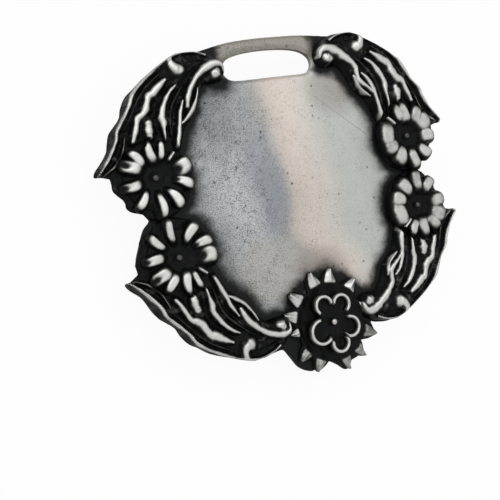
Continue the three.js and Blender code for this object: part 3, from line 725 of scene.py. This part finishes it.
def daisy_skin(seed, plump, polish):
    """Petals are pillows: e to the minus q to the sixth, where q grows along and across a petal like a
    rounded oblong's, each with a rise to its tip. The middle is a dish."""
    rng = np.random.default_rng(seed)
    ways = np.linspace(0, 2 * np.pi, 400, endpoint=False)
    outline = np.full(ways.shape, 6.5)
    for at, start, end, tip, root, high, scoop in petals:
        off = np.abs((np.degrees(ways) - at + 180) % 360 - 180)
        outline = np.maximum(outline, 6.5 + (end - 6.2) * np.exp(-((off / (tip * plump * 9.5)) ** 4)))
    x, y, r = polar(120, ways, outline)
    height = np.zeros(x.shape)
    bright = np.zeros(x.shape)
    for at, start, end, tip, root, high, scoop in petals:
        scoop = scoop if plump < 1.3 else None
        a = np.radians(at + rng.uniform(-4, 4))
        u = x * np.cos(a) + y * np.sin(a)
        v = -x * np.sin(a) + y * np.cos(a) + 0.25 * np.sin(u * 0.9 + rng.uniform(0, 6))
        middle, length = (start + end) / 2, (end - start) / 2
        along = (u - middle) / length
        width = (root + (tip - root) * (0.5 + 0.5 * np.clip(along, -1, 1))) * plump
        q = (np.abs(along) ** 2.8 + np.abs(v / width) ** 2.8) ** (1 / 2.8)
        q = np.where(u > 0, q, 9)
        hollow = np.zeros(x.shape)
        if scoop is not None:
            hollow = np.exp(-(np.hypot((along - scoop) / 0.5, v / (width * 0.5)) ** 2.5))
        rise = np.exp(-((q * 0.86) ** 6)) * high * (0.93 + 0.07 * np.clip(along, -1, 1)) - 0.3 * hollow
        height = np.maximum(height, rise)
        shine = np.exp(-((q * 1.02) ** 5)) * polish * rng.uniform(0.85, 1.0) * (1 - 0.85 * hollow)
        bright = np.maximum(bright, shine)
    stem = np.radians(-9)
    u, v = x * np.cos(stem) + y * np.sin(stem), -x * np.sin(stem) + y * np.cos(stem)
    rise = np.exp(-((np.abs(v) / 0.5) ** 2.5)) * step(u, 3.2, 4.6) * 0.75
    height = np.maximum(height, rise)
    bright = np.maximum(bright, np.exp(-((v / 0.42) ** 4)) * step(u, 3.6, 5) * 0.9)
    floor = daisy_floor - 0.55 * np.exp(-((r / 3.3) ** 4)) + 0.07 * wander(x, y, seed, 1.8)
    floor = floor + 0.1 * np.exp(-(((r - 1.55) / 0.3) ** 2))
    floor = floor - 0.6 * step(r / outline[None], 0.82, 1.0)
    top = floor + (petal_top - floor) * height
    return flower_skin(x, y, top, daisy_foot), np.vstack([bright, np.zeros((4, len(ways)))])


for number, spot in enumerate(spray_seeds):
    level, side = spot.split("_")
    points, bright = daisy_skin(61 + number, *((1.16, 1.04) if side == "left" else (1.85, 0.96)))
    build(
        f"flower_{spot}", set_in_place(points, level, side), quads(*points.shape[:2], False, True),
        stands_for=(f"daisy_{spot}",), finish=(rubbed_silver, "oxidised_silver"), marks={"rubbed": bright},
    )

# ---------------------------------------------------------------------------------------------
# Rosette: ten pointed leaves under a five-petalled rose, whose petals are dishes with bright rims.

calyx_foot, calyx_floor, leaf_top = 1.66, 2.55, 3.35
# Each leaf: its way in degrees, how far it reaches, and half width in degrees.
leaves = [
    (44, 11.5, 14), (78, 11.9, 14), (103, 12.1, 14), (137, 12.1, 14), (160, 11.9, 12), (182, 10.6, 9), (215, 11.5, 12),
    (239, 11.4, 13), (281, 11.5, 12), (306, 11.7, 12), (334, 12.3, 14), (10, 10.4, 11),
]


def calyx_skin():
    """Leaf tips are low pyramids whose faces fall to the valleys between the leaves."""
    ways = np.linspace(0, 2 * np.pi, 480, endpoint=False)
    degrees = np.degrees(ways)
    outline = np.full(ways.shape, 8.4)
    for at, reach_out, half in leaves:
        off = np.abs((degrees - at + 180) % 360 - 180) / half
        outline = np.maximum(outline, 8.0 + (reach_out - 8.0) * np.clip(1 - (off / 1.25) ** 1.35, 0, 1))
    x, y, r = polar(90, ways, outline)
    height = np.zeros(x.shape)
    bright = np.zeros(x.shape)
    turned = np.degrees(np.arctan2(y, x))
    for at, reach_out, half in leaves:
        off = np.abs((turned - at + 180) % 360 - 180) / half
        start, end = 7.9, reach_out
        out = (r - start) / (end - start)
        slope = np.clip(1 - off / np.clip(1.2 - 1.05 * out, 0.08, 2), 0, 1) * step(out, -0.15, 0.35)
        fall = 1 - step(out, 0.94, 1.1)
        height = np.maximum(height, slope**0.8 * fall)
        mark = step(slope, 0.06, 0.42) * step(out, 0.08, 0.3) * (1 - step(out, 0.92, 1.02))
        bright = np.maximum(bright, mark * (0.72 if 200 < at % 360 < 350 else 1.0))
    floor = calyx_floor + 0.08 * wander(x, y, 71, 2.4)
    floor = floor - 0.45 * step(r, 8.4, 10.5)
    top = floor + (leaf_top - floor) * height
    return flower_skin(x, y, top, calyx_foot), np.vstack([bright * 0.97, np.zeros((4, len(ways)))])


def on_rosette(points):
    return points + np.array([rosette_x, rosette_y, 0])


points, bright = calyx_skin()
build(
    "calyx_leaves", on_rosette(points), quads(*points.shape[:2], False, True), stands_for=("rosette_calyx",),
    finish=(rubbed_silver, "oxidised_silver"), marks={"rubbed": bright},
)

rose_foot, rose_floor, rose_top = 2.7, 3.45, 4.85
# Each petal: its way in degrees, how far out its middle is, and its radius.
rose_petals = [(115, 4.5, 2.45), (55, 4.3, 2.45), (-27, 4.0, 2.65), (-86, 4.7, 2.45), (201, 3.9, 3.05)]


def rose_skin():
    """The rim follows the outline of five joined circles; inside it each petal is a bowl."""
    ways = np.linspace(0, 2 * np.pi, 480, endpoint=False)
    outline = np.full(ways.shape, 3.2)
    for at, out, radius in rose_petals:
        a = np.radians(at)
        along = out * np.cos(ways - a)
        across = out * np.sin(ways - a)
        inside = np.abs(across) < radius
        end = along + np.sqrt(np.clip(radius**2 - across**2, 0, None))
        outline = np.where(inside & (along > 0), np.maximum(outline, end), outline)
    x, y, r = polar(110, ways, outline)
    rim = np.zeros(x.shape)
    bright = np.zeros(x.shape)
    bowl = np.full(x.shape, 9.0)
    for at, out, radius in rose_petals:
        a = np.radians(at)
        cx, cy = out * np.cos(a), out * np.sin(a)
        bowl = np.minimum(bowl, np.hypot(x - cx, y - cy) / radius)
    for at, out, radius in rose_petals:
        a = np.radians(at)
        cx, cy = out * np.cos(a), out * np.sin(a)
        d = np.hypot(x - cx, y - cy)
        others = np.full(x.shape, 9.0)
        for at2, out2, radius2 in rose_petals:
            if at2 != at:
                b = np.radians(at2)
                others = np.minimum(others, np.hypot(x - out2 * np.cos(b), y - out2 * np.sin(b)) - radius2)
        outward = ((x - cx) * np.cos(a) + (y - cy) * np.sin(a)) / np.maximum(d, 0.1)
        free = step(others, -0.5, 0.1) * step(outward, -0.75, -0.3)
        band = np.exp(-(((d - (radius - 0.5)) / 0.5) ** 4)) * free
        rim = np.maximum(rim, band)
        bright = np.maximum(bright, np.exp(-(((d - (radius - 0.5)) / 0.46) ** 4)) * free)
    floor = rose_floor - 0.35 * np.exp(-((r / 2.6) ** 4)) + 0.25 * step(bowl, 0.2, 0.9) + 0.06 * wander(x, y, 81, 1.6)
    top = floor + (rose_top - floor) * rim
    edge_fall = step(r / outline[None], 0.97, 1.0)
    top = top - 0.5 * edge_fall
    return flower_skin(x, y, top, rose_foot), np.vstack([bright, np.zeros((4, len(ways)))])


points, bright = rose_skin()
build(
    "rose_petals", on_rosette(points), quads(*points.shape[:2], False, True), stands_for=("rosette_cinquefoil",),
    finish=(rubbed_silver, "oxidised_silver"), marks={"rubbed": bright},
)

# ---------------------------------------------------------------------------------------------
# Rivets and burrs: silver wire, its head domed as the flower's eye and its tail peened over a
# washer on the back.


def turned_piece(profile, count, middle, segments=64):
    """A profile of radius and height carried round a Z axis through the middle."""
    line = evened(np.array(profile, float), count)
    a = np.linspace(0, 2 * np.pi, segments, endpoint=False)
    x = middle[0] + line[:, :1] * np.cos(a)
    y = middle[1] + line[:, :1] * np.sin(a)
    return np.stack([x, y, np.repeat(line[:, 1:], segments, 1)], -1)


def arc(middle_r, middle_z, radius_r, radius_z, start, end, count=10):
    a = np.radians(np.linspace(start, end, count))
    return [(middle_r + radius_r * np.cos(t), middle_z + radius_z * np.sin(t)) for t in a]


wire_silver = bpy.data.materials.new("wire_silver")
bench = Bench(wire_silver)
place = bench.add("ShaderNodeTexCoord", {}, out=3)
height = bench.add("ShaderNodeSeparateXYZ", {}, place)
height = Wire(bench, height.socket.node.outputs[2]) * 1000
tarnish = cloud(bench, place, 500, 4, 0.6)
fine = cloud(bench, place, 2500, 2)
# A rivet's bright crown is partly wear and partly a painted highlight on its dome.
crown = bench.add("ShaderNodeAttribute", {"attribute_name": "rubbed"}, out=2)
rear = 1 - height.ramp(-0.1, 0.4)
clean = crown.at_least(rear * (0.62 + tarnish * 0.45))
tone = bench.add(
    "ShaderNodeValToRGB",
    {"stops": [(0, linear(30, 31, 31)), (0.45, linear(98, 97, 94)), (1, linear(190, 187, 180))]},
    clean,
)
bump = bench.add("ShaderNodeBump", {}, 0.35, 0.00006, Height=fine + tarnish * 0.6)
shader = bench.add(
    "ShaderNodeBsdfPrincipled", {},
    Base_Color=tone, Metallic=0.35 + clean * 0.65, Roughness=0.4 - clean * 0.08 + fine * 0.06, Normal=bump,
    Specular_IOR_Level=0.2,
)
bench.add("ShaderNodeOutputMaterial", {}, shader)

wire_radius, tail_radius, tail_seat, tail_end = 0.8, 1.5, -0.7, -1.3


def rivet_profile(low, high, bead):
    seat = high - 0.7
    return (
        [(0, low)] + arc(0, tail_seat - 0.02, tail_radius, tail_seat - 0.02 - low, -88, -4)
        + [(tail_radius, tail_seat), (wire_radius, tail_seat), (wire_radius, seat), (bead * 0.96, seat)]
        + arc(0, seat + 0.06, bead, high - seat - 0.06, 0, 90, 12)
    )


for spot in list(spray_seeds) + ["rosette"]:
    node = "rosette_rivet" if spot == "rosette" else f"daisy_rivet_{spot}"
    low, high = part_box(node)
    middle = ((low.x + high.x) * 500, (low.y + high.y) * 500)
    crown_top, bead = (high.z * 1000 - 0.05, 0.8) if spot == "rosette" else (3.75, 0.75)
    points = turned_piece(rivet_profile(low.z * 1000, crown_top, bead), 90, middle)
    # The bright crown, partly wear and partly a painted highlight, is full on the rosette's bead and a third on the
    # daisies'.
    build(
        f"eye_rivet_{spot}", points, quads(*points.shape[:2], False, True), stands_for=(node,),
        finish=(wire_silver, "findings"),
        marks={"rubbed": step(points[..., 2], crown_top - 0.4, crown_top - 0.1) * (1.0 if spot == "rosette" else 0.3)},
    )
    low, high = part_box(f"rivet_burr_{spot}")
    top, bottom, outer, inner = high.z * 1000, low.z * 1000, 1.98, 0.92
    ring = [(inner, top - 0.08), (inner + 0.08, top), (outer - 0.15, top)] + arc(outer - 0.16, top - 0.14, 0.15, 0.14, 80, 0, 4)
    ring += arc(outer - 0.2, bottom + 0.2, 0.19, 0.19, 0, -85, 5) + [(inner + 0.1, bottom), (inner, bottom + 0.1)]
    points = turned_piece(ring + ring[:1], 60, middle)[:-1]
    build(
        f"burr_{spot}", points, quads(*points.shape[:2], True, True), stands_for=(f"rivet_burr_{spot}",),
        finish=(wire_silver, "findings"),
    )

# ---------------------------------------------------------------------------------------------
# Hinge and hook: rolled nickel silver. The leaf is soldered to the plate's back; its knuckles and
# the hook's turn on a wire pin.

back_metal = bpy.data.materials.new("back_metal")
bench = Bench(back_metal)
place = bench.add("ShaderNodeTexCoord", {}, out=3)
brushed = bench.add("ShaderNodeMapping", {}, place, None, None, (2600.0, 160.0, 900.0))
lines = cloud(bench, brushed, 1.0, 3)
tarnish = cloud(bench, place, 260, 4, 0.6)
grime = cloud(bench, place, 900, 4, 0.65)
soiled = (tarnish * 0.6 + grime * 0.5).ramp(0.5, 0.78)
tone = bench.add(
    "ShaderNodeValToRGB",
    {"stops": [(0, linear(186, 181, 170)), (0.5, linear(154, 149, 139)), (1, linear(92, 88, 80))]},
    soiled,
)
bump = bench.add("ShaderNodeBump", {}, 0.3, 0.00005, Height=lines + grime * 0.5)
shader = bench.add(
    "ShaderNodeBsdfPrincipled", {},
    Base_Color=tone, Metallic=1.0, Roughness=0.3 + lines * 0.12 + soiled * 0.15, Normal=bump,
)
bench.add("ShaderNodeOutputMaterial", {}, shader)

pin_low, pin_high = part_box("hinge_pin")
pin_y, pin_z = (pin_low.y + pin_high.y) * 500, (pin_low.z + pin_high.z) * 500
pin_radius = (pin_high.z - pin_low.z) * 500
leaf_low, leaf_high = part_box("hinge_leaf")
hook_low, hook_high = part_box("belt_hook")
knuckle_radius = -pin_z - 0.1
leaf_half = leaf_high.x * 1000
hook_half = hook_high.x * 1000


def crosswise(profile, count, segments=64):
    """A profile of radius and x carried round the hinge's pin."""
    points = turned_piece(profile, count, (0, 0), segments)
    return np.stack([points[..., 2], pin_y + points[..., 0], pin_z + points[..., 1]], -1)


def knuckle(name, start, end, body, stands_for):
    """A rolled barrel with its bore, its ends eased."""
    bore, outside, ease = pin_radius + 0.08, knuckle_radius, 0.12
    ring = [(bore, start + ease), (bore + ease, start), (outside - ease, start), (outside, start + ease)]
    ring += [(outside, end - ease), (outside - ease, end), (bore + ease, end), (bore, end - ease)]
    points = crosswise(ring + ring[:1], 90)[:-1]
    build(name, points, quads(*points.shape[:2], True, True), body, stands_for, (back_metal, "findings"))


def slab(low, high, ease, count=28, levels=7):
    """A flat bar with rounded corners and eased edges, as rings of a rounded rectangle stacked in z."""
    a = np.linspace(0, 2 * np.pi, 4 * count, endpoint=False)
    half = (np.array(high) - np.array(low)) / 2
    middle = (np.array(high) + np.array(low)) / 2
    rows = []
    z_ease = min(ease, half[2])
    steps = np.linspace(-np.pi / 2, 0, levels)
    stack = [(-half[2] + z_ease * (1 + np.sin(t)), ease * (1 - np.cos(t))) for t in steps]
    stack = stack + [(-z, inset) for z, inset in stack[::-1]]
    stack = [(stack[0][0], 1e9)] + stack + [(stack[-1][0], 1e9)]
    for z, inset in stack:
        corner = 0.9
        hx, hy = max(half[0] - inset, 0), max(half[1] - inset, 0)
        if inset > 1e8:
            ring = np.zeros((len(a), 2))
        else:
            cx, cy = hx - min(corner, hx), hy - min(corner, hy)
            c, s = np.cos(a), np.sin(a)
            ring = np.stack([np.sign(c) * cx + corner * c, np.sign(s) * cy + corner * s], -1)
        rows.append(np.column_stack([ring + middle[:2], np.full(len(a), z + middle[2])]))
    return np.array(rows)


knuckle("leaf_knuckle_left", -leaf_half, -(hook_half + 0.2), "buckle", ("hinge_leaf",))
knuckle("leaf_knuckle_right", hook_half + 0.2, leaf_half, "buckle", ("hinge_leaf",))
points = slab(
    (-leaf_half, pin_y + knuckle_radius + 0.2, -1.1), (leaf_half, leaf_high.y * 1000, -0.1), 0.14
)
build(
    "hinge_plate", points, quads(*points.shape[:2], False, True), "buckle", ("hinge_leaf",), (back_metal, "findings")
)
for side, start, end in (("left", -leaf_half, -(hook_half + 0.2)), ("right", hook_half + 0.2, leaf_half)):
    points = slab((start, pin_y + knuckle_radius * 0.55, -1.1), (end, pin_y + knuckle_radius + 1.6, -0.11), 0.1)
    build(
        f"hinge_strap_{side}", points, quads(*points.shape[:2], False, True), "buckle", ("hinge_leaf",),
        (back_metal, "findings"),
    )
end = pin_high.x * 1000
points = crosswise(
    [(0, -end)] + arc(0, -end + 0.3, pin_radius, 0.3, -85, 0, 8) + arc(0, end - 0.3, pin_radius, 0.3, 0, 85, 8) + [(0, end)], 60
)
build("hinge_wire", points, quads(*points.shape[:2], False, True), "buckle", ("hinge_pin",), (wire_silver, "findings"))

# The hook's strip: its middle line, carried with a rounded section that narrows to the tongue.
knuckle("hook_knuckle", -hook_half, hook_half, "hook", ("belt_hook",))
strip, mouth = 1.1, 3.2
bend_y, bend_z = hook_low.y * 1000 + mouth / 2 + strip, -0.4 - strip - mouth / 2
shank_z = -0.4 - strip / 2
line = [(y, shank_z) for y in np.linspace(pin_y - 1.0, bend_y, 14)]
middle_radius = mouth / 2 + strip / 2
for t in np.radians(np.linspace(98, 270, 26)):
    line.append((bend_y + middle_radius * np.cos(t), bend_z + middle_radius * np.sin(t)))
line += [(y, bend_z - middle_radius) for y in np.linspace(bend_y + 0.3, bend_y + 7.9, 16)]
line = evened(np.array(line), 150)
along = np.linspace(0, 1, len(line))
slope = np.gradient(line, axis=0)
slope /= np.linalg.norm(slope, axis=1)[:, None]
normal = np.stack([-slope[:, 1], slope[:, 0]], -1)
half_width = hook_half - 0.02 - (hook_half - 2.0) * step(along, 0.28, 0.5)
tip = np.clip((1 - along) / 0.045, 0, 1)
half_width = half_width * (0.45 + 0.55 * np.sqrt(1 - (1 - tip) ** 2))
half_thick = (strip / 2 - 0.01) * (0.35 + 0.65 * np.sqrt(1 - (1 - tip) ** 2))
a = np.linspace(0, 2 * np.pi, 48, endpoint=False)
section_w = np.sign(np.cos(a)) * np.abs(np.cos(a)) ** 0.3
section_t = np.sign(np.sin(a)) * np.abs(np.sin(a)) ** 0.45
x = half_width[:, None] * section_w[None]
lift = half_thick[:, None] * section_t[None]
points = np.stack(
    [x, line[:, :1] + lift * normal[:, :1], line[:, 1:] + lift * normal[:, 1:]], -1
)
ends = [points[:1].mean(1, keepdims=True).repeat(len(a), 1), points[-1:].mean(1, keepdims=True).repeat(len(a), 1)]
points = np.concatenate([ends[0], points, ends[1]])
build("hook_strip", points, quads(*points.shape[:2], False, True), "hook", ("belt_hook",), (back_metal, "findings"))

low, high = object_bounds()
